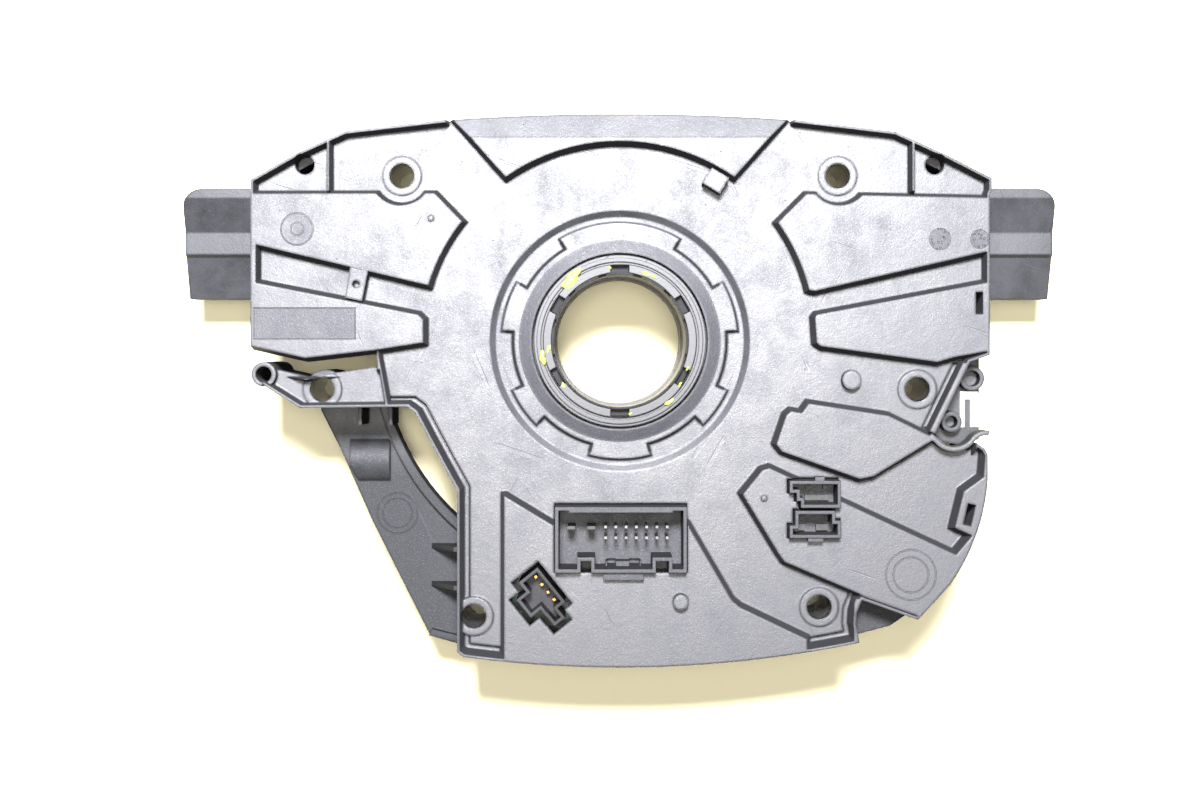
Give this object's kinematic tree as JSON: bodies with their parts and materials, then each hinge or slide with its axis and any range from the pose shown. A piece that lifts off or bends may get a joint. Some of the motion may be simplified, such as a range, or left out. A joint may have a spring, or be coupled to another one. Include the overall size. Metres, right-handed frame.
{
  "type": "steering clock spring",
  "caption": "Steering-column module with a clock spring: keyed connector, switch sockets, stalk guides and a turning sleeve for the column.",
  "frame": {"origin": "on the column's axis, at the hub's front face, where the part lies on a table", "axes": "+Z along the column's axis to the rear face with the connectors, +X along the stalk guides, +Y away from the main connector"},
  "size_m": [0.227, 0.1386, 0.061],
  "materials": {
    "black_plastic": "moulded glass-filled, fine spark texture",
    "black_tub_plastic": "moulded glass-filled, smoother",
    "rotor_plastic": "smooth moulded",
    "yellow_plastic": "moulded, yellow for the airbag circuit",
    "spring_steel": "plain stamped",
    "contact_metal": "tin plated",
    "gilt_contacts": "gilt",
    "board_laminate": "glass laminate with green lacquer",
    "sensor_plastic": "moulded",
    "disc_plastic": "moulded",
    "cable_film": "amber film"
  },
  "bodies": {
    "housing": {"rear_housing": "black_plastic", "main_connector_shell": "black_plastic", "upper_switch_socket": "black_plastic", "lower_switch_socket": "black_plastic", "small_connector_shell": "black_plastic", "front_housing": "black_tub_plastic", "cassette_shell": "black_tub_plastic", "left_stalk_socket": "rotor_plastic", "right_stalk_socket": "rotor_plastic", "spring_clip": "spring_steel", "housing_screws": "spring_steel", "board_screws": "spring_steel", "cassette_screws": "spring_steel", "main_connector_pins": "contact_metal", "power_blades": "contact_metal", "switch_socket_contacts": "contact_metal", "stalk_socket_contacts": "contact_metal", "small_connector_pins": "gilt_contacts", "circuit_board": "board_laminate", "angle_sensor": "sensor_plastic", "ribbon_cable": "cable_film"},
    "rotor": {"rotor_cover": "rotor_plastic", "rotor_sleeve": "rotor_plastic", "driver_ring": "rotor_plastic", "code_disc": "disc_plastic", "rotor_screws": "spring_steel", "left_airbag_socket": "yellow_plastic", "right_airbag_socket": "yellow_plastic", "airbag_socket_contacts": "contact_metal", "wheel_socket": "rotor_plastic", "wheel_socket_contacts": "contact_metal"}
  },
  "joints": [
    {"name": "rotor_turn", "type": "hinge", "parent": "housing", "child": "rotor", "pos_m": [0, 0, 0], "axis": [0, 0, 1], "range_deg": [-900, 900]}
  ]
}
